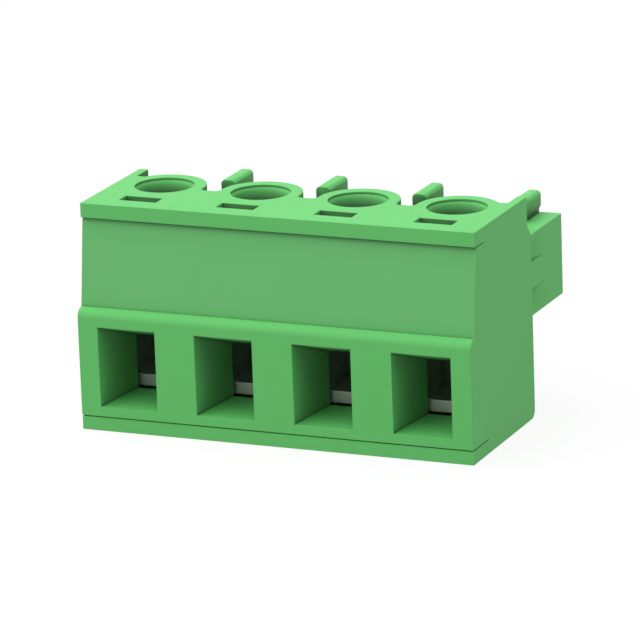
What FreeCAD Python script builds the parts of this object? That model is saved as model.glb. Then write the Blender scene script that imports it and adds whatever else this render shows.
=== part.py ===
import FreeCAD, Part
import os

from FreeCAD import Vector

# Pluggable four pole terminal block: a housing with a snapped-in front cover and, for each pole,
# a clamping screw, a rising clamp cage and a one-piece spring contact.
# Millimetres. X runs along the row of poles, Y from the wire side to the mating side, Z up.
# While the pieces are drawn, y = 0 is the front face of the top lip and z = 0 the flat underside.
# The finished solids are moved along Y so that the part's box is centred on the origin.

# Row of poles
poles = 4
pitch = 5.08

# Housing outline, seen from the side
height = 11.1
lip_height = 0.72
lip_overhang = 0.18
band_height = 0.68
band_front_y = -0.83
body_rear_y = 7.3
foot_radius = 0.45
end_wall_rear_y = 6.84
end_wall_step_z = 9.7
plug_rear_y = 11.45
plug_bottom_z = 5.08
plug_top_z = 9.11
land_width = 1.1
land_step = 0.2

# Top deck, screw bosses and end walls
deck_rear_y = 3.83
deck_fillet = 0.3
end_web_rear_y = 5.5
end_wall = 0.47
boss_radius = 2.05
screw_y = 4.25
driver_radius = 1.46
driver_rim_depth = 0.26
driver_ledge = 0.06
driver_cone_radius = 1.28

# Latch windows in the lip
window_width = 1.95
window_front_y = 1.06
window_rear_y = 1.9

# Coding ribs on top of the mating side
rib_offset = 1.13
rib_width = 0.75
rib_neck_width = 0.56
rib_height = 1.08
rib_neck_height = 0.16
rib_flare_height = 0.2
rib_round = 0.22
rib_length = 2.28

# Snap recesses in both sides of the mating part
snap_depth = 0.18
snap_length = 1.7
snap_run_out = 0.4
snap_block_bottom_z = 6.4
snap_block_height = 1.32

# Front cover
seam_y = 1.1
seam_gap = 0.05
panel_foot_y = -0.39
panel_foot_z = 6.07
shoulder_radius = 0.48
face_y = -0.87
entry_width = 3.0
entry_bottom_z = 1.21
entry_height = 3.99
entry_end_width = 2.22
entry_end_height = 2.74
nozzle_rear_y = 2.65
nozzle_clearance = 0.08
tongue_length = 1.0
latch_height = 0.38

# Clamp cage
cage_depth = 2.4
cage_wall = 0.45
cage_floor = 0.64
cage_roof = 0.8
cage_floor_top_z = 1.19
cage_inner_width = 2.9
cage_round = 0.3
cage_clearance = 0.1
cage_travel = 2.7
cage_rest_lift = 0.66
guide_width = 2.2
guide_gap = 0.3
guide_round = 0.06

# Clamping screw
thread_radius = 1.0
thread_clearance = 0.04
head_radius = 1.55
head_height = 1.2
head_chamfer = 0.12
head_clearance = 0.1
slot_width = 0.5
slot_depth = 0.6

# Spring contact
sheet = 0.5
bar_bottom_z = 4.05
bar_width = 2.3
bar_front_y = 2.95
riser_front_y = 6.05
arm_height = 2.0
arm_root_half = 1.25
arm_pinch_half = 0.95
arm_mouth_half = 1.15
arm_tip_y = 10.65
contact_clearance = 0.1
pin_opening = 1.7
pin_lead_in = 0.3

# Sizes that follow from the ones above
width = poles * pitch
half = width / 2.0
lip_bottom_z = height - lip_height
plug_mid_z = (plug_bottom_z + plug_top_z) / 2.0
back_top_z = plug_top_z - land_step
middle_y = (face_y + plug_rear_y) / 2.0
chamber_half = cage_inner_width / 2.0 + cage_wall + cage_clearance
chamber_floor_z = cage_floor_top_z - cage_floor - cage_clearance
chamber_rear_y = screw_y + cage_depth / 2.0 + cage_clearance
cage_bottom_z = cage_floor_top_z - cage_floor
bar_top_z = bar_bottom_z + sheet
cage_roof_z = bar_top_z + cage_clearance
cage_top_z = cage_roof_z + cage_roof
chamber_roof_z = cage_top_z + cage_travel + 2.0 * cage_clearance
head_bottom_z = chamber_roof_z - cage_clearance / 2.0
head_top_z = head_bottom_z + head_height
head_pocket_radius = head_radius + head_clearance
head_pocket_top_z = head_top_z + head_clearance
arm_bottom_z = plug_mid_z - arm_height / 2.0
arm_top_z = plug_mid_z + arm_height / 2.0
tunnel_half = arm_root_half + contact_clearance
tunnel_bottom_z = arm_bottom_z - contact_clearance
tunnel_top_z = arm_top_z + contact_clearance
riser_rear_y = riser_front_y + sheet
tunnel_rear_y = arm_tip_y + 2.0 * contact_clearance
tongue_bottom_z = head_pocket_top_z - nozzle_clearance
pole_x = [(number - (poles - 1) / 2.0) * pitch for number in range(poles)]


def block(x0, x1, y0, y1, z0, z1):
    """Box between two corners."""
    return Part.makeBox(x1 - x0, y1 - y0, z1 - z0, Vector(x0, y0, z0))


def slab(edges, x0, x1):
    """Outline drawn in the YZ plane, carried along X."""
    face = Part.Face(Part.Wire(edges))
    face.translate(Vector(x0, 0, 0))
    return face.extrude(Vector(x1 - x0, 0, 0))


def polygon_edges(points):
    """Straight edges through the points in order, without the closing one."""
    return [Part.makeLine(a, b) for a, b in zip(points, points[1:])]


def yz(y, z):
    return Vector(0, y, z)


def rectangle(half_width, y, z0, z1):
    """Closed upright rectangle across X at one depth."""
    corners = [
        Vector(-half_width, y, z0),
        Vector(half_width, y, z0),
        Vector(half_width, y, z1),
        Vector(-half_width, y, z1),
        Vector(-half_width, y, z0),
    ]
    return Part.makePolygon(corners)


def at_poles(shape):
    """One copy of a shape for each pole."""
    copies = []
    for x in pole_x:
        copy = shape.copy()
        copy.translate(Vector(x, 0, 0))
        copies.append(copy)
    return copies


def housing_envelope():
    """Side outline of the housing across the whole row, with its rounded foot and plain rear."""
    foot_y = body_rear_y - foot_radius
    foot_mid = foot_radius * 0.70710678
    outline = polygon_edges(
        [
            yz(body_rear_y, foot_radius),
            yz(body_rear_y, plug_bottom_z),
            yz(plug_rear_y, plug_bottom_z),
            yz(plug_rear_y, plug_top_z),
            yz(body_rear_y, plug_top_z),
            yz(end_wall_rear_y, end_wall_step_z),
            yz(end_wall_rear_y, height),
            yz(0, height),
            yz(0, lip_bottom_z),
            yz(seam_y, lip_bottom_z),
            yz(seam_y, band_height),
            yz(band_front_y, band_height),
            yz(band_front_y, 0),
            yz(foot_y, 0),
        ]
    )
    foot = Part.Arc(
        yz(foot_y, 0),
        yz(foot_y + foot_mid, foot_radius - foot_mid),
        yz(body_rear_y, foot_radius),
    )
    outline.append(foot.toShape())
    return slab(outline, -half, half)


def deck_and_bosses(shell):
    """Clears the space behind the deck, steps the mating part down between its two end lands, and
    adds the round screw bosses.
    """
    inner = half - end_wall
    land = half - land_width
    behind = block(-inner, inner, deck_rear_y, body_rear_y, plug_top_z, height)
    step = block(-land, land, deck_rear_y, plug_rear_y, back_top_z, height)
    shell = shell.cut([behind, step])
    boss = Part.makeCylinder(boss_radius, height - back_top_z, Vector(0, screw_y, back_top_z))
    bosses = at_poles(boss)
    for end, boss_x in ((-inner, pole_x[0]), (inner, pole_x[-1])):
        x0, x1 = sorted((end, boss_x))
        bosses.append(block(x0, x1, deck_rear_y, screw_y, back_top_z, height))
        edge = boss_x + (boss_radius - end_wall) * (1 if end > 0 else -1)
        x0, x1 = sorted((end, edge))
        bosses.append(block(x0, x1, deck_rear_y, end_web_rear_y, back_top_z, height))
    shell = shell.fuse(bosses).removeSplitter()
    corners = []
    for edge in shell.Edges:
        upright = edge.BoundBox.ZLength > (height - back_top_z) / 2.0
        middle = edge.CenterOfMass
        if upright and abs(middle.y - deck_rear_y) < 0.01 and abs(middle.x) < pole_x[-1]:
            corners.append(edge)
    return shell.makeFillet(min(deck_fillet, 0.6 * (pitch / 2.0 - boss_radius)), corners)


def coding_rib():
    """Rib with a narrow neck and a rounded head, at x = 0."""
    head = rib_width / 2.0
    neck = rib_neck_width / 2.0
    top = plug_top_z + rib_height
    flare = plug_top_z + rib_neck_height
    y = plug_rear_y - rib_length
    side = [
        Vector(neck, y, back_top_z - rib_neck_height),
        Vector(neck, y, flare),
        Vector(head, y, flare + rib_flare_height),
        Vector(head, y, top - rib_round),
    ]
    mirrored = [Vector(-p.x, p.y, p.z) for p in reversed(side)]
    bend = rib_round * (1 - 0.70710678)
    right = Part.Arc(side[-1], Vector(head - bend, y, top - bend), Vector(head - rib_round, y, top))
    left = Part.Arc(Vector(rib_round - head, y, top), Vector(bend - head, y, top - bend), mirrored[0])
    edges = polygon_edges(side)
    edges.append(right.toShape())
    edges.append(Part.makeLine(Vector(head - rib_round, y, top), Vector(rib_round - head, y, top)))
    edges.append(left.toShape())
    edges += polygon_edges(mirrored)
    edges.append(Part.makeLine(mirrored[-1], side[0]))
    return Part.Face(Part.Wire(edges)).extrude(Vector(0, rib_length, 0))


def snap_recesses():
    """Recesses above and below a flush block on both sides of the mating part. They are deepest at
    the body and at the block, and run out to nothing elsewhere.
    """
    above = (snap_block_bottom_z + snap_block_height, plug_top_z - snap_depth, -snap_run_out)
    below = (snap_block_bottom_z, plug_bottom_z + snap_depth, snap_run_out)
    end_y = body_rear_y + snap_length
    cuts = []
    for side in (-1, 1):
        outer = side * (half + snap_depth)
        face = side * half
        floor = side * (half - snap_depth)
        plan = [
            Vector(outer, body_rear_y, 0),
            Vector(floor, body_rear_y, 0),
            Vector(face, end_y, 0),
            Vector(outer, end_y, 0),
            Vector(outer, body_rear_y, 0),
        ]
        wedge = Part.Face(Part.makePolygon(plan)).extrude(Vector(0, 0, height))
        for ledge_z, end_z, run_out in (above, below):
            profile = [
                Vector(outer, body_rear_y, ledge_z),
                Vector(floor, body_rear_y, ledge_z),
                Vector(floor, body_rear_y, end_z + run_out),
                Vector(face, body_rear_y, end_z),
                Vector(outer, body_rear_y, end_z),
                Vector(outer, body_rear_y, ledge_z),
            ]
            hollow = Part.Face(Part.makePolygon(profile)).extrude(Vector(0, snap_length, 0))
            cuts.append(wedge.common(hollow))
    return cuts


def driver_bore():
    """Screwdriver hole: a short rim, a small ledge and a cone that leads down to the screw head."""
    rim_z = height - driver_rim_depth
    ledge_radius = driver_radius - driver_ledge
    outline = Part.makePolygon(
        [
            Vector(0, 0, head_pocket_top_z - head_clearance),
            Vector(driver_cone_radius, 0, head_pocket_top_z - head_clearance),
            Vector(driver_cone_radius, 0, head_pocket_top_z),
            Vector(ledge_radius, 0, rim_z),
            Vector(driver_radius, 0, rim_z),
            Vector(driver_radius, 0, height + lip_height),
            Vector(0, 0, height + lip_height),
            Vector(0, 0, head_pocket_top_z - head_clearance),
        ]
    )
    bore = Part.Face(outline).revolve(Vector(0, 0, 0), Vector(0, 0, 1), 360)
    bore.translate(Vector(0, screw_y, 0))
    return bore


def pin_mouth():
    """Square pin opening in the mating face with a sloping lead-in."""
    small = pin_opening / 2.0
    large = small + pin_lead_in
    opening = block(-small, small, riser_rear_y, plug_rear_y, plug_mid_z - small, plug_mid_z + small)
    inner = rectangle(small, plug_rear_y - pin_lead_in, plug_mid_z - small, plug_mid_z + small)
    outer = rectangle(large, plug_rear_y, plug_mid_z - large, plug_mid_z + large)
    return opening.fuse(Part.makeLoft([inner, outer], True, True))


def pole_cavity():
    """Everything that is open inside the housing for one pole."""
    chamber = block(-chamber_half, chamber_half, seam_y, chamber_rear_y, chamber_floor_z, chamber_roof_z)
    head_slot = block(
        -head_pocket_radius, head_pocket_radius, seam_y, screw_y, head_bottom_z, head_pocket_top_z
    )
    head_round = Part.makeCylinder(
        head_pocket_radius, head_pocket_top_z - head_bottom_z, Vector(0, screw_y, head_bottom_z)
    )
    tongue_half = head_pocket_radius
    tongue_pocket = block(
        -tongue_half,
        tongue_half,
        seam_y,
        seam_y + tongue_length + nozzle_clearance,
        head_bottom_z,
        lip_bottom_z,
    )
    window = block(
        -window_width / 2.0, window_width / 2.0, window_front_y, window_rear_y, lip_bottom_z, height
    )
    riser_room = block(
        -tunnel_half,
        tunnel_half,
        screw_y,
        riser_rear_y + contact_clearance,
        bar_bottom_z - contact_clearance,
        tunnel_top_z,
    )
    tunnel = block(-tunnel_half, tunnel_half, riser_front_y, tunnel_rear_y, tunnel_bottom_z, tunnel_top_z)
    rooms = [head_slot, head_round, tongue_pocket, window, riser_room, tunnel, driver_bore(), pin_mouth()]
    return chamber.fuse(rooms)


def main_housing():
    """Moulded housing with deck, bosses, end walls, mating part, coding ribs and pole chambers."""
    rib = coding_rib()
    rib.translate(Vector(rib_offset, 0, 0))
    shell = deck_and_bosses(housing_envelope()).fuse(at_poles(rib))
    return shell.cut(at_poles(pole_cavity()) + snap_recesses()).removeSplitter()


def cover_plate():
    """Front plate: sloping panel, rounded shoulder and the upright wire entry face."""
    top_z = lip_bottom_z - seam_gap
    bottom_z = band_height + seam_gap
    shoulder_y = panel_foot_y - shoulder_radius
    shoulder_z = panel_foot_z - shoulder_radius
    middle = Vector(
        0, panel_foot_y - shoulder_radius * 0.70710678, shoulder_z + shoulder_radius * 0.70710678
    )
    outline = polygon_edges(
        [
            yz(shoulder_y, shoulder_z),
            yz(face_y, bottom_z),
            yz(seam_y, bottom_z),
            yz(seam_y, top_z),
            yz(lip_overhang, top_z),
            yz(panel_foot_y, panel_foot_z),
        ]
    )
    shoulder = Part.Arc(yz(panel_foot_y, panel_foot_z), middle, yz(shoulder_y, shoulder_z))
    outline.append(shoulder.toShape())
    return slab(outline, -half, half)


def entry_funnel():
    """Tapered wire entry with a level floor, from the front face through the nozzle."""
    front_y = face_y - seam_gap
    slope = (entry_width - entry_end_width) / 2.0 / (nozzle_rear_y - face_y)
    fall = (entry_height - entry_end_height) / (nozzle_rear_y - face_y)
    mouth_half = entry_width / 2.0 + slope * seam_gap
    mouth_top_z = entry_bottom_z + entry_height + fall * seam_gap
    mouth = rectangle(mouth_half, front_y, entry_bottom_z, mouth_top_z)
    end_half = entry_end_width / 2.0
    end = rectangle(end_half, nozzle_rear_y, entry_bottom_z, entry_bottom_z + entry_end_height)
    return Part.makeLoft([mouth, end], True, True)


def cover_nozzle():
    """Block behind the plate that fills the chamber mouth, with the latch on its top tongue."""
    nozzle_half = chamber_half - nozzle_clearance
    nozzle = block(
        -nozzle_half,
        nozzle_half,
        seam_y,
        nozzle_rear_y,
        band_height + seam_gap,
        chamber_roof_z - nozzle_clearance,
    )
    guard_half = head_pocket_radius - nozzle_clearance
    guard = block(
        -guard_half, guard_half, seam_y, nozzle_rear_y - nozzle_clearance, plug_mid_z, tongue_bottom_z
    )
    tongue_top_z = lip_bottom_z - seam_gap
    tongue = block(
        -guard_half, guard_half, seam_y, seam_y + tongue_length, plug_mid_z, tongue_top_z
    )
    latch_front_y = window_front_y + nozzle_clearance
    latch_rear_y = window_rear_y - nozzle_clearance
    crest_z = tongue_top_z + latch_height
    latch_edges = polygon_edges(
        [
            yz(latch_front_y, plug_mid_z + tongue_length),
            yz(latch_front_y, crest_z),
            yz((latch_front_y + latch_rear_y) / 2.0, crest_z),
            yz(latch_rear_y, tongue_top_z),
            yz(latch_rear_y, plug_mid_z + tongue_length),
            yz(latch_front_y, plug_mid_z + tongue_length),
        ]
    )
    latch_half = window_width / 2.0 - nozzle_clearance
    latch = slab(latch_edges, -latch_half, latch_half)
    return nozzle.fuse([guard, tongue, latch])


def front_cover():
    """Cover that closes the chambers, located between the lip and the bottom band."""
    cover = cover_plate().fuse(at_poles(cover_nozzle()))
    return cover.cut(at_poles(entry_funnel())).removeSplitter()


def clamp_screw():
    """Slotted screw that stays at one height and turns; its tip stands on the contact bar."""
    tip_z = bar_top_z + contact_clearance / 2.0
    point = thread_radius - head_chamfer
    outline = Part.makePolygon(
        [
            Vector(0, 0, tip_z),
            Vector(point, 0, tip_z),
            Vector(thread_radius, 0, tip_z + head_chamfer),
            Vector(thread_radius, 0, head_bottom_z + cage_clearance),
            Vector(head_radius, 0, head_bottom_z + cage_clearance),
            Vector(head_radius, 0, head_top_z - head_chamfer),
            Vector(head_radius - head_chamfer, 0, head_top_z),
            Vector(0, 0, head_top_z),
            Vector(0, 0, tip_z),
        ]
    )
    screw = Part.Face(outline).revolve(Vector(0, 0, 0), Vector(0, 0, 1), 360)
    slot = block(
        -head_radius, head_radius, -slot_width / 2.0, slot_width / 2.0, head_top_z - slot_depth, height
    )
    screw = screw.cut(slot)
    screw.translate(Vector(0, screw_y, 0))
    return screw


def clamp_cage():
    """Drawn metal frame, open to front and rear, with a threaded roof and a guide for the wire.
    It is shown just above its lowest place, where the clamp stands open.
    """
    front_y = screw_y - cage_depth / 2.0
    rear_y = screw_y + cage_depth / 2.0
    inner = cage_inner_width / 2.0
    outer = inner + cage_wall
    frame = block(-outer, outer, front_y, rear_y, cage_bottom_z, cage_top_z)
    corners = []
    for edge in frame.Edges:
        ends = [vertex.Point for vertex in edge.Vertexes]
        if abs(ends[0].y - ends[1].y) > cage_depth / 2.0:
            corners.append(edge)
    frame = frame.makeFillet(cage_round, corners)
    window = block(-inner, inner, front_y, rear_y, cage_floor_top_z, cage_roof_z)
    thread = Part.makeCylinder(
        thread_radius + thread_clearance, cage_top_z - cage_roof_z, Vector(0, screw_y, cage_roof_z)
    )
    guide_front_y = nozzle_rear_y + guide_gap
    guide = block(
        -guide_width / 2.0, guide_width / 2.0, guide_front_y, screw_y, cage_bottom_z, cage_floor_top_z
    )
    edges = []
    for edge in guide.Edges:
        box = edge.BoundBox
        if box.YMax < guide_front_y + guide_round and box.XLength > guide_width / 2.0:
            edges.append(edge)
    guide = guide.makeFillet(guide_round, edges)
    cage = frame.cut([window, thread]).fuse(guide).removeSplitter()
    cage.translate(Vector(0, 0, cage_rest_lift))
    return cage


def contact_arm():
    """Right-hand spring arm: narrows to the pinch point, then opens again at its tip."""
    bend_y = riser_rear_y + sheet
    pinch_y = arm_tip_y - 2.0 * sheet
    outer_points = [
        Vector(arm_root_half, riser_front_y, 0),
        Vector(arm_root_half, bend_y, 0),
        Vector(arm_pinch_half, pinch_y, 0),
        Vector(arm_mouth_half, arm_tip_y, 0),
    ]
    inner_points = [Vector(p.x - sheet, p.y, 0) for p in outer_points]
    edges = []
    for points in (outer_points, inner_points):
        edges.append(Part.makeLine(points[0], points[1]))
        bend = Part.BSplineCurve()
        bend.interpolate(points[1:])
        edges.append(bend.toShape())
    root = Part.makeLine(outer_points[0], inner_points[0])
    tip = Part.makeLine(outer_points[-1], inner_points[-1])
    ordered = Part.__sortEdges__(edges + [root, tip])
    arm = Part.Face(Part.Wire(ordered)).extrude(Vector(0, 0, arm_height))
    arm.translate(Vector(0, 0, arm_bottom_z))
    return arm


def contact():
    """One piece of sheet: the bar under the cage roof, the upright at the rear and two arms."""
    bar = block(-bar_width / 2.0, bar_width / 2.0, bar_front_y, riser_rear_y, bar_bottom_z, bar_top_z)
    riser = block(-arm_root_half, arm_root_half, riser_front_y, riser_rear_y, bar_bottom_z, arm_top_z)
    right = contact_arm()
    left = right.mirror(Vector(0, 0, 0), Vector(1, 0, 0))
    return bar.fuse([riser, right, left]).removeSplitter()


def write(name, shape):
    """Centres the piece's depth on the origin and writes it."""
    piece = shape.copy()
    piece.translate(Vector(0, -middle_y, 0))
    piece.exportStep("parts/" + name + ".step")


os.makedirs("parts", exist_ok=True)
write("main_housing", main_housing())
write("front_cover", front_cover())
for kind, shape in (("clamp_screw", clamp_screw()), ("clamp_cage", clamp_cage()), ("contact", contact())):
    for number, piece in enumerate(at_poles(shape), start=1):
        write(kind + "_" + str(number), piece)
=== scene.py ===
import math

import bmesh
import bpy
from mathutils import Matrix, Vector


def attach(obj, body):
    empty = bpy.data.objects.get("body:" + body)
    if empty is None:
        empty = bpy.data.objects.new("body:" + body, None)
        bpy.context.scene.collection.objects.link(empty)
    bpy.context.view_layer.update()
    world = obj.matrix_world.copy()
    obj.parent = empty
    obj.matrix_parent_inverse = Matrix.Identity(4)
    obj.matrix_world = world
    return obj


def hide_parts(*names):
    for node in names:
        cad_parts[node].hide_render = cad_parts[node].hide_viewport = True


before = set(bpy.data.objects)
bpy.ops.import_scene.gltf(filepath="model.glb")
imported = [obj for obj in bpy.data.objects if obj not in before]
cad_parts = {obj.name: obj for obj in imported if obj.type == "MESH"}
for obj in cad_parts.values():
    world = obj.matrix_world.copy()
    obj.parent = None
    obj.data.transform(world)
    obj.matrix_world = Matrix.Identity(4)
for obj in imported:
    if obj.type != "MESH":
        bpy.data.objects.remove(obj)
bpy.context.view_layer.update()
mm = 0.001

# Main housing. One moulding of green polyamide 66, with the top lip, screw bosses, coding ribs
# and mating block. Its edges leave the mould with a small radius, which catches the light.
# The faces that meet the cover keep sharp edges, so the joint closes to a hairline.
housing_green = "#7BE181"
cloud_tint = "#F4FBF4"
gloss_tint = "#E4F8E6"
# Painted shade: the grey green that recesses, gaps and the panel under the lip darken to.
painted_shade_green = "#5A6E5C"
# Painted sheen and shade: a greyer green, mixed into the forward faces of the panel.
painted_sheen_grey = "#9BA9A0"
cloud_width = 6.0 * mm
# Such grain is usually about 0.04 mm wide. It is drawn at 0.09 mm, so that it shows.
grain_width = 0.09 * mm
grain_height = 0.0012 * mm
grain_low, grain_high = 0.3, 0.7
roughness_low, roughness_high = 0.46, 0.56
fine_relief, coarse_relief = 0.35, 0.9
# Most of the painted sheen and shade that is mixed in, where the relief is also at its coarsest.
frost_and_sheen_share = 0.15
# Height over which the coarser frost with its painted sheen and shade, or the painted shade of a recess,
# comes in.
fade_height = 0.05 * mm
# Faces that point forward by these amounts get the painted sheen and shade, in part and in full.
forward_from, forward_full = -0.3, -0.6
# Faces that point upwards keep only this share of a painted shade, as light falls on them from above.
level_share = 0.05
openness_samples = 8
# Heights clear of the part, for what shows on all of it or on none of it.
below_the_part = -1.0 * mm
above_the_part = 20.0 * mm
mould_edge = 0.03 * mm
corner_angle = math.radians(28)
sharp_angle = math.radians(48)
flat_angle = math.radians(0.5)
same_corner = 0.0001 * mm
touching = 0.002 * mm
joint_y = -4.19 * mm
# The small ledge in each screwdriver hole is drawn as a slope, which catches the light: its
# outer rim is raised, and its inner rim is drawn in.
pole_pitch = 5.08 * mm
screw_y = -1.04 * mm
ledge_z = 10.84 * mm
ledge_middle_radius = 1.43 * mm
ledge_slope = 0.13 * mm
ledge_inset = 0.962
# The colour sockets of a Mix node share their names with its other sockets, so they go by number.
first_colour, second_colour, mixed_colour = 6, 7, 2


def linear(hex_colour):
    """Linear RGBA of an sRGB hex colour."""
    channels = [int(hex_colour[place:place + 2], 16) / 255.0 for place in (1, 3, 5)]
    return [c / 12.92 if c <= 0.04045 else ((c + 0.055) / 1.055) ** 2.4 for c in channels] + [1.0]


def add_node(owner, kind, settings=None, **links):
    """Adds a node, sets its properties and sockets, and links named sockets to other outputs."""
    tree = owner.node_tree
    node = tree.nodes.new(kind)
    for name, value in (settings or {}).items():
        if name in node.inputs:
            node.inputs[name].default_value = value
        else:
            setattr(node, name, value)
    for name, output in links.items():
        tree.links.new(output, node.inputs[name.replace("_", " ")])
    return node


def new_material(name):
    """Empty node material."""
    material = bpy.data.materials.new(name)
    material.use_nodes = True
    material.node_tree.nodes.clear()
    return material


def moulded_polyamide(name, recesses, level_from, frost_and_sheen_above):
    """Satin polyamide 66 from a finely eroded mould: an even green that clouds very slightly.

    Above the height of its last argument, on the faces that point forward, its relief is coarser,
    and a painted sheen and shade make it greyer. A painted shade darkens it to another green on the
    walls of recesses, by how closed in an occlusion finds them, and hardly on faces that point
    upwards by level_from, where light falls from above. Each painted shade gives its reach, whether
    only this piece counts, the openness at which the shade starts and is complete, its green, and
    the height above which it acts.
    """
    material = new_material(name)
    surface = add_node(material, "ShaderNodeTexCoord")
    place = surface.outputs["Object"]
    height = add_node(material, "ShaderNodeSeparateXYZ", Vector=place).outputs["Z"]
    facing = add_node(material, "ShaderNodeSeparateXYZ", Vector=surface.outputs["Normal"])
    front = add_node(
        material,
        "ShaderNodeMapRange",
        {"From Min": forward_from, "From Max": forward_full, "To Max": frost_and_sheen_share},
        Value=facing.outputs["Y"],
    )
    # Painted shade is kept mostly off faces that point up, where light from above falls.
    wall = add_node(
        material,
        "ShaderNodeMapRange",
        {"From Max": level_from, "To Min": 1.0, "To Max": level_share},
        Value=facing.outputs["Z"],
    )
    # Forward faces above the given height get a painted sheen and shade, and a coarser relief.
    frost_and_sheen = add_node(
        material,
        "ShaderNodeMapRange",
        {"From Min": frost_and_sheen_above, "From Max": frost_and_sheen_above + fade_height},
        Value=height,
        To_Max=front.outputs["Result"],
    )
    cloud = add_node(
        material, "ShaderNodeTexNoise", {"Scale": 1.0 / cloud_width, "Detail": 3.0}, Vector=place
    )
    grain = add_node(
        material, "ShaderNodeTexNoise", {"Scale": 1.0 / grain_width, "Detail": 2.0}, Vector=place
    )
    tint = add_node(
        material,
        "ShaderNodeMix",
        {"data_type": "RGBA", "blend_type": "MULTIPLY", "clamp_result": True},
        Factor=cloud.outputs["Fac"],
    )
    tint.inputs[first_colour].default_value = linear(housing_green)
    tint.inputs[second_colour].default_value = linear(cloud_tint)
    # Painted sheen and shade: the green turns greyer there.
    painted_sheen_mix = add_node(material, "ShaderNodeMix", {"data_type": "RGBA"}, Factor=frost_and_sheen.outputs["Result"])
    material.node_tree.links.new(tint.outputs[mixed_colour], painted_sheen_mix.inputs[first_colour])
    painted_sheen_mix.inputs[second_colour].default_value = linear(painted_sheen_grey)
    shade = painted_sheen_mix.outputs[mixed_colour]
    # Painted shade: by how closed in the occlusion finds a place, each recess darkens towards its green.
    for recess in recesses:
        openness = add_node(
            material,
            "ShaderNodeAmbientOcclusion",
            {"only_local": recess["alone"], "samples": openness_samples, "Distance": recess["reach"]},
        )
        allowed = add_node(
            material,
            "ShaderNodeMapRange",
            {"From Min": recess["above"], "From Max": recess["above"] + fade_height},
            Value=height,
            To_Max=wall.outputs["Result"],
        )
        painted_shade_share = add_node(
            material,
            "ShaderNodeMapRange",
            {"From Min": recess["start"], "From Max": recess["complete"]},
            Value=openness.outputs["AO"],
            To_Max=allowed.outputs["Result"],
        )
        painted_shade_mix = add_node(material, "ShaderNodeMix", {"data_type": "RGBA"}, Factor=painted_shade_share.outputs["Result"])
        material.node_tree.links.new(shade, painted_shade_mix.inputs[first_colour])
        painted_shade_mix.inputs[second_colour].default_value = linear(recess["green"])
        shade = painted_shade_mix.outputs[mixed_colour]
    gloss = add_node(
        material,
        "ShaderNodeMapRange",
        {
            "From Min": grain_low,
            "From Max": grain_high,
            "To Min": roughness_low,
            "To Max": roughness_high,
        },
        Value=grain.outputs["Fac"],
    )
    coarseness = add_node(
        material,
        "ShaderNodeMapRange",
        {"From Max": frost_and_sheen_share, "To Min": fine_relief, "To Max": coarse_relief},
        Value=frost_and_sheen.outputs["Result"],
    )
    relief = add_node(
        material,
        "ShaderNodeBump",
        {"Distance": grain_height},
        Height=grain.outputs["Fac"],
        Strength=coarseness.outputs["Result"],
    )
    shader = add_node(
        material,
        "ShaderNodeBsdfPrincipled",
        {"IOR": 1.5, "Specular IOR Level": 0.15, "Specular Tint": linear(gloss_tint)},
        Base_Color=shade,
        Roughness=gloss.outputs["Result"],
        Normal=relief.outputs["Normal"],
    )
    add_node(material, "ShaderNodeOutputMaterial", Surface=shader.outputs["BSDF"])
    return material


def lies_at(edge, axis, place):
    """Whether both ends of an edge lie at one place along an axis."""
    return max(abs(getattr(end.co, axis) - place) for end in edge.verts) < touching


def slope_ledges(shape):
    """Turns the flat ledge in each screwdriver hole into a slope."""
    for corner in [vert for vert in shape.verts if abs(vert.co.z - ledge_z) < touching]:
        # The poles stand half a pitch to either side of the middle, and a pitch apart.
        pole_x = pole_pitch * (math.floor(corner.co.x / pole_pitch) + 0.5)
        axis = Vector((pole_x, screw_y, ledge_z))
        away = corner.co - axis
        if away.length > ledge_middle_radius:
            corner.co.z += ledge_slope
        else:
            corner.co = axis + away * ledge_inset


def rounded_copy(node, name, material):
    """Copy of a CAD node with its loose triangles joined and its outer edges rounded."""
    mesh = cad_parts[node].data.copy()
    mesh.name = name
    shape = bmesh.new()
    shape.from_mesh(mesh)
    bmesh.ops.remove_doubles(shape, verts=shape.verts, dist=same_corner)
    slope_ledges(shape)
    bmesh.ops.dissolve_limit(
        shape,
        angle_limit=flat_angle,
        verts=shape.verts,
        edges=shape.edges,
        use_dissolve_boundaries=False,
    )
    corners = [
        edge
        for edge in shape.edges
        if edge.is_manifold and edge.is_convex and edge.calc_face_angle() > corner_angle
    ]
    rounded = [
        edge for edge in corners if not lies_at(edge, "y", joint_y) and not lies_at(edge, "z", ledge_z)
    ]
    bmesh.ops.bevel(
        shape,
        geom=rounded,
        offset=mould_edge,
        offset_type="OFFSET",
        affect="EDGES",
        segments=2,
        profile=0.5,
        material=-1,
        clamp_overlap=False,
    )
    for face in shape.faces:
        face.smooth = True
        face.material_index = 0
    for edge in shape.edges:
        raised_rim = lies_at(edge, "z", ledge_z + ledge_slope)
        edge.smooth = not edge.is_manifold or (edge.calc_face_angle() < sharp_angle and not raised_rim)
    shape.to_mesh(mesh)
    shape.free()
    mesh.materials.clear()
    mesh.materials.append(material)
    piece = bpy.data.objects.new(name, mesh)
    bpy.context.scene.collection.objects.link(piece)
    normals = piece.modifiers.new("even normals", "WEIGHTED_NORMAL")
    normals.keep_sharp = True
    return piece


# Painted shade in the housing's chambers, screwdriver holes, slots and behind the bosses.
chamber_painted_shade = {
    "reach": 5.0 * mm,
    "alone": True,
    "start": 1.0,
    "complete": 0.45,
    "green": painted_shade_green,
    "above": below_the_part,
}
housing_plastic = moulded_polyamide(
    "moulded green polyamide", [chamber_painted_shade], level_from=0.4, frost_and_sheen_above=above_the_part
)
housing = rounded_copy("main_housing", "housing_moulding", housing_plastic)
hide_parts("main_housing")
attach(housing, "plug")

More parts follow.
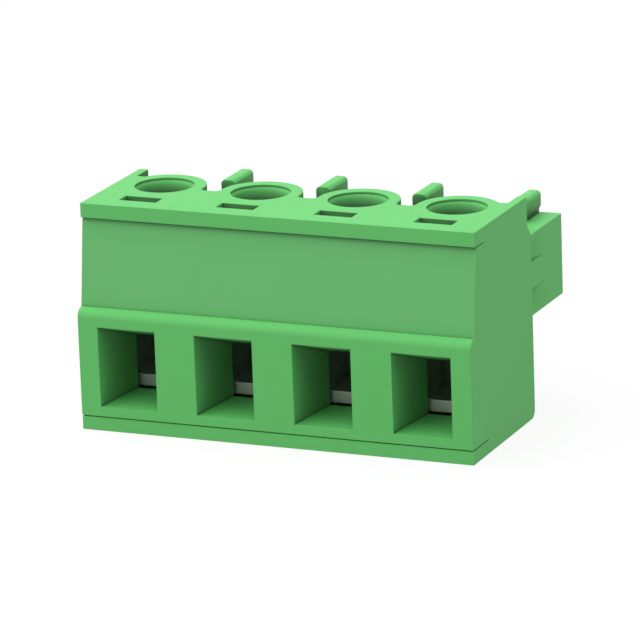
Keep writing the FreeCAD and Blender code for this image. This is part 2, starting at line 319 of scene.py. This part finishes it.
# Front cover. A second moulding of the same polyamide, pushed in between the lip and the band
# until its four latches snap into the windows of the lip. Its entries guide the wires in. The
# mould of its sloping panel is eroded a little coarser, which roughens the relief there, and a
# painted sheen and shade grey the green of the panel's forward faces. Painted shade darkens the
# wire entries and the joint gap, and a painted shadow darkens the panel under the lip.
# Painted shade: the green that the wire entries darken to.
painted_entry_shade_green = "#6AA86E"
panel_foot_z = 6.06 * mm
panel_middle_z = 8.0 * mm
# Painted shade in the wire entries.
entry_painted_shade = {
    "reach": 3.0 * mm,
    "alone": True,
    "start": 0.94,
    "complete": 0.5,
    "green": painted_entry_shade_green,
    "above": below_the_part,
}
# Painted shade in the gaps between the cover and the housing.
joint_painted_shade = {
    "reach": 0.25 * mm,
    "alone": False,
    "start": 0.9,
    "complete": 0.3,
    "green": painted_shade_green,
    "above": below_the_part,
}
# Painted shadow under the lip, on the upper part of the panel.
lip_painted_shadow = {
    "reach": 1.1 * mm,
    "alone": False,
    "start": 0.97,
    "complete": 0.4,
    "green": painted_shade_green,
    "above": panel_middle_z,
}
cover_plastic = moulded_polyamide(
    "moulded green polyamide cover",
    [entry_painted_shade, joint_painted_shade, lip_painted_shadow],
    level_from=1.0,
    frost_and_sheen_above=panel_foot_z,
)
cover = rounded_copy("front_cover", "cover_moulding", cover_plastic)
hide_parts("front_cover")
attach(cover, "plug")

# Clamping screws. Steel turned on a lathe, slotted, zinc plated and passivated clear, which
# gives a soft grey shine. The tool leaves fine rings on each head. The housing's shoulder holds
# the screws, so they turn without rising.
poles = (1, 2, 3, 4)
row_middle = 2.5
zinc_dark, zinc_light = "#A3A8AA", "#B9BBB8"
zinc_smooth, zinc_rough = 0.24, 0.38
zinc_haze = 0.5 * mm
# Such rings are usually about 0.04 mm apart. They are drawn at 0.07 mm, so that they show.
turning_ring = 0.07 * mm
turning_depth = 0.0015 * mm
# Distance between the rings of a Wave texture at a scale of 1.
unscaled_ring = math.tau / 20.0


def dress(node, material):
    """Gives the mesh of a CAD node its material."""
    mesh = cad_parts[node].data
    mesh.materials.clear()
    mesh.materials.append(material)


for number in poles:
    screw_steel = new_material("zinc plated steel " + str(number))
    screw_x = (number - row_middle) * pole_pitch
    place = add_node(screw_steel, "ShaderNodeTexCoord").outputs["Object"]
    centred = add_node(
        screw_steel, "ShaderNodeMapping", {"Location": (-screw_x, -screw_y, 0)}, Vector=place
    )
    rings = add_node(
        screw_steel,
        "ShaderNodeTexWave",
        {
            "wave_type": "RINGS",
            "rings_direction": "Z",
            "Scale": unscaled_ring / turning_ring,
            "Distortion": 0.6,
            "Detail": 1.0,
        },
        Vector=centred.outputs["Vector"],
    )
    haze = add_node(
        screw_steel, "ShaderNodeTexNoise", {"Scale": 1.0 / zinc_haze, "Detail": 3.0}, Vector=place
    )
    shade = add_node(screw_steel, "ShaderNodeMix", {"data_type": "RGBA"}, Factor=haze.outputs["Fac"])
    shade.inputs[first_colour].default_value = linear(zinc_dark)
    shade.inputs[second_colour].default_value = linear(zinc_light)
    gloss = add_node(
        screw_steel,
        "ShaderNodeMapRange",
        {"To Min": zinc_smooth, "To Max": zinc_rough},
        Value=rings.outputs["Fac"],
    )
    relief = add_node(
        screw_steel,
        "ShaderNodeBump",
        {"Strength": 0.5, "Distance": turning_depth},
        Height=rings.outputs["Fac"],
    )
    shader = add_node(
        screw_steel,
        "ShaderNodeBsdfPrincipled",
        {"Metallic": 1.0},
        Base_Color=shade.outputs[mixed_colour],
        Roughness=gloss.outputs["Result"],
        Normal=relief.outputs["Normal"],
    )
    add_node(screw_steel, "ShaderNodeOutputMaterial", Surface=shader.outputs["BSDF"])
    dress("clamp_screw_" + str(number), screw_steel)

# Clamp cages. Frames cut from a drawn steel section and nickel plated; the die leaves faint lines
# along them. The threaded roof rides on the screw, and the floor lifts the wire to the contact.
nickel_dark, nickel_light = "#C6C9C4", "#DCDED8"
nickel_smooth, nickel_rough = 0.42, 0.54
# Such lines are usually about 0.02 mm wide. They are drawn at 0.05 mm, so that they show.
draw_line = 0.05 * mm
draw_line_length = 1.6 * mm
draw_line_depth = 0.001 * mm
cage_steel = new_material("nickel plated drawn steel")
place = add_node(cage_steel, "ShaderNodeTexCoord").outputs["Object"]
stretched = add_node(
    cage_steel,
    "ShaderNodeMapping",
    {"Scale": (1.0 / draw_line, 1.0 / draw_line_length, 1.0 / draw_line)},
    Vector=place,
)
lines = add_node(
    cage_steel, "ShaderNodeTexNoise", {"Scale": 1.0, "Detail": 2.0}, Vector=stretched.outputs["Vector"]
)
shade = add_node(cage_steel, "ShaderNodeMix", {"data_type": "RGBA"}, Factor=lines.outputs["Fac"])
shade.inputs[first_colour].default_value = linear(nickel_dark)
shade.inputs[second_colour].default_value = linear(nickel_light)
gloss = add_node(
    cage_steel,
    "ShaderNodeMapRange",
    {"To Min": nickel_smooth, "To Max": nickel_rough},
    Value=lines.outputs["Fac"],
)
relief = add_node(
    cage_steel,
    "ShaderNodeBump",
    {"Strength": 0.5, "Distance": draw_line_depth},
    Height=lines.outputs["Fac"],
)
shader = add_node(
    cage_steel,
    "ShaderNodeBsdfPrincipled",
    {"Metallic": 1.0},
    Base_Color=shade.outputs[mixed_colour],
    Roughness=gloss.outputs["Result"],
    Normal=relief.outputs["Normal"],
)
add_node(cage_steel, "ShaderNodeOutputMaterial", Surface=shader.outputs["BSDF"])
for number in poles:
    dress("clamp_cage_" + str(number), cage_steel)

# Spring contacts. Stamped and bent from one strip of bronze and tinned, which leaves a soft,
# slightly clouded silver: the bar, the upright and two arms that pinch the header's pin.
tin_dark, tin_light = "#AEACA4", "#C9C8C2"
tin_smooth, tin_rough = 0.36, 0.54
tin_cloud = 0.35 * mm
contact_tin = new_material("tinned bronze")
place = add_node(contact_tin, "ShaderNodeTexCoord").outputs["Object"]
cloud = add_node(
    contact_tin, "ShaderNodeTexNoise", {"Scale": 1.0 / tin_cloud, "Detail": 4.0}, Vector=place
)
shade = add_node(contact_tin, "ShaderNodeMix", {"data_type": "RGBA"}, Factor=cloud.outputs["Fac"])
shade.inputs[first_colour].default_value = linear(tin_dark)
shade.inputs[second_colour].default_value = linear(tin_light)
gloss = add_node(
    contact_tin,
    "ShaderNodeMapRange",
    {"To Min": tin_smooth, "To Max": tin_rough},
    Value=cloud.outputs["Fac"],
)
shader = add_node(
    contact_tin,
    "ShaderNodeBsdfPrincipled",
    {"Metallic": 1.0},
    Base_Color=shade.outputs[mixed_colour],
    Roughness=gloss.outputs["Result"],
)
add_node(contact_tin, "ShaderNodeOutputMaterial", Surface=shader.outputs["BSDF"])
for number in poles:
    dress("contact_" + str(number), contact_tin)

# Floor and room. A plain pale floor and an even pale room: white where they are seen or mirrored,
# dimmer where they only light the object. The floor keeps a part of its paint for the shadow.
# One large softbox hangs above, a little to the left and in front.
floor_half = 1.5
floor_drop = 0.02 * mm
floor_glow = 0.88
floor_bounce = 0.25
floor_grey_lighting, floor_grey_seen = "#898989", "#6B6B6B"
room_light = 0.35
lamp_place = Vector((-0.12, -0.06, 0.34))
lamp_size = 0.6
lamp_power = 1.56


def rays_that_show(owner):
    """Output of 1 for rays from the camera, a gloss or a glass, and 0 for rays that only light."""
    path = add_node(owner, "ShaderNodeLightPath")
    kinds = add_node(
        owner,
        "ShaderNodeCombineXYZ",
        X=path.outputs["Is Camera Ray"],
        Y=path.outputs["Is Glossy Ray"],
        Z=path.outputs["Is Transmission Ray"],
    )
    any_kind = add_node(
        owner, "ShaderNodeVectorMath", {"operation": "LENGTH"}, Vector=kinds.outputs["Vector"]
    )
    return any_kind.outputs["Value"]


floor_shape = bmesh.new()
bmesh.ops.create_grid(floor_shape, x_segments=1, y_segments=1, size=floor_half)
bmesh.ops.translate(floor_shape, verts=floor_shape.verts, vec=Vector((0, 0, -floor_drop)))
floor_mesh = bpy.data.meshes.new("floor")
floor_shape.to_mesh(floor_mesh)
floor_shape.free()
floor = bpy.data.objects.new("floor", floor_mesh)
bpy.context.scene.collection.objects.link(floor)
floor_paint = new_material("pale floor paint")
floor_seen = rays_that_show(floor_paint)
floor_tone = add_node(
    floor_paint, "ShaderNodeMix", {"data_type": "RGBA", "clamp_factor": True}, Factor=floor_seen
)
floor_tone.inputs[first_colour].default_value = linear(floor_grey_lighting)
floor_tone.inputs[second_colour].default_value = linear(floor_grey_seen)
floor_white = add_node(
    floor_paint, "ShaderNodeMapRange", {"To Min": floor_bounce, "To Max": floor_glow}, Value=floor_seen
)
floor_shader = add_node(
    floor_paint,
    "ShaderNodeBsdfPrincipled",
    {"Roughness": 1.0, "Specular IOR Level": 0.0, "Emission Color": linear("#FFFFFF")},
    Base_Color=floor_tone.outputs[mixed_colour],
    Emission_Strength=floor_white.outputs["Result"],
)
add_node(floor_paint, "ShaderNodeOutputMaterial", Surface=floor_shader.outputs["BSDF"])
floor_mesh.materials.append(floor_paint)

room = bpy.data.worlds.new("pale room")
room.use_nodes = True
room.node_tree.nodes.clear()
room_level = add_node(
    room, "ShaderNodeMapRange", {"To Min": room_light, "To Max": 1.0}, Value=rays_that_show(room)
)
room_shader = add_node(
    room, "ShaderNodeBackground", {"Color": linear("#FFFFFF")}, Strength=room_level.outputs["Result"]
)
add_node(room, "ShaderNodeOutputWorld", Surface=room_shader.outputs["Background"])
bpy.context.scene.world = room

softbox = bpy.data.lights.new("overhead softbox", "AREA")
softbox.size = lamp_size
softbox.energy = lamp_power
softbox_holder = bpy.data.objects.new("overhead softbox", softbox)
softbox_holder.location = lamp_place
softbox_holder.rotation_euler = lamp_place.to_track_quat("Z", "Y").to_euler()
bpy.context.scene.collection.objects.link(softbox_holder)

# Camera. A long lens at the photograph's height and angle, rolled slightly as the picture is.
camera_place = Vector((96.64, -222.32, 74.12)) * mm
camera_azimuth = math.radians(23.52)
camera_elevation = math.radians(16.0)
camera_roll = math.radians(2.04)
camera_data = bpy.data.cameras.new("camera")
camera_data.lens = 292.8
camera_data.clip_start = 0.01
camera = bpy.data.objects.new("camera", camera_data)
turned = Matrix.Rotation(camera_azimuth, 4, "Z")
tilted = Matrix.Rotation(math.radians(90) - camera_elevation, 4, "X")
rolled = Matrix.Rotation(-camera_roll, 4, "Z")
camera.matrix_world = Matrix.Translation(camera_place) @ turned @ tilted @ rolled
bpy.context.scene.collection.objects.link(camera)
bpy.context.scene.camera = camera
bpy.context.scene.view_settings.view_transform = "Standard"
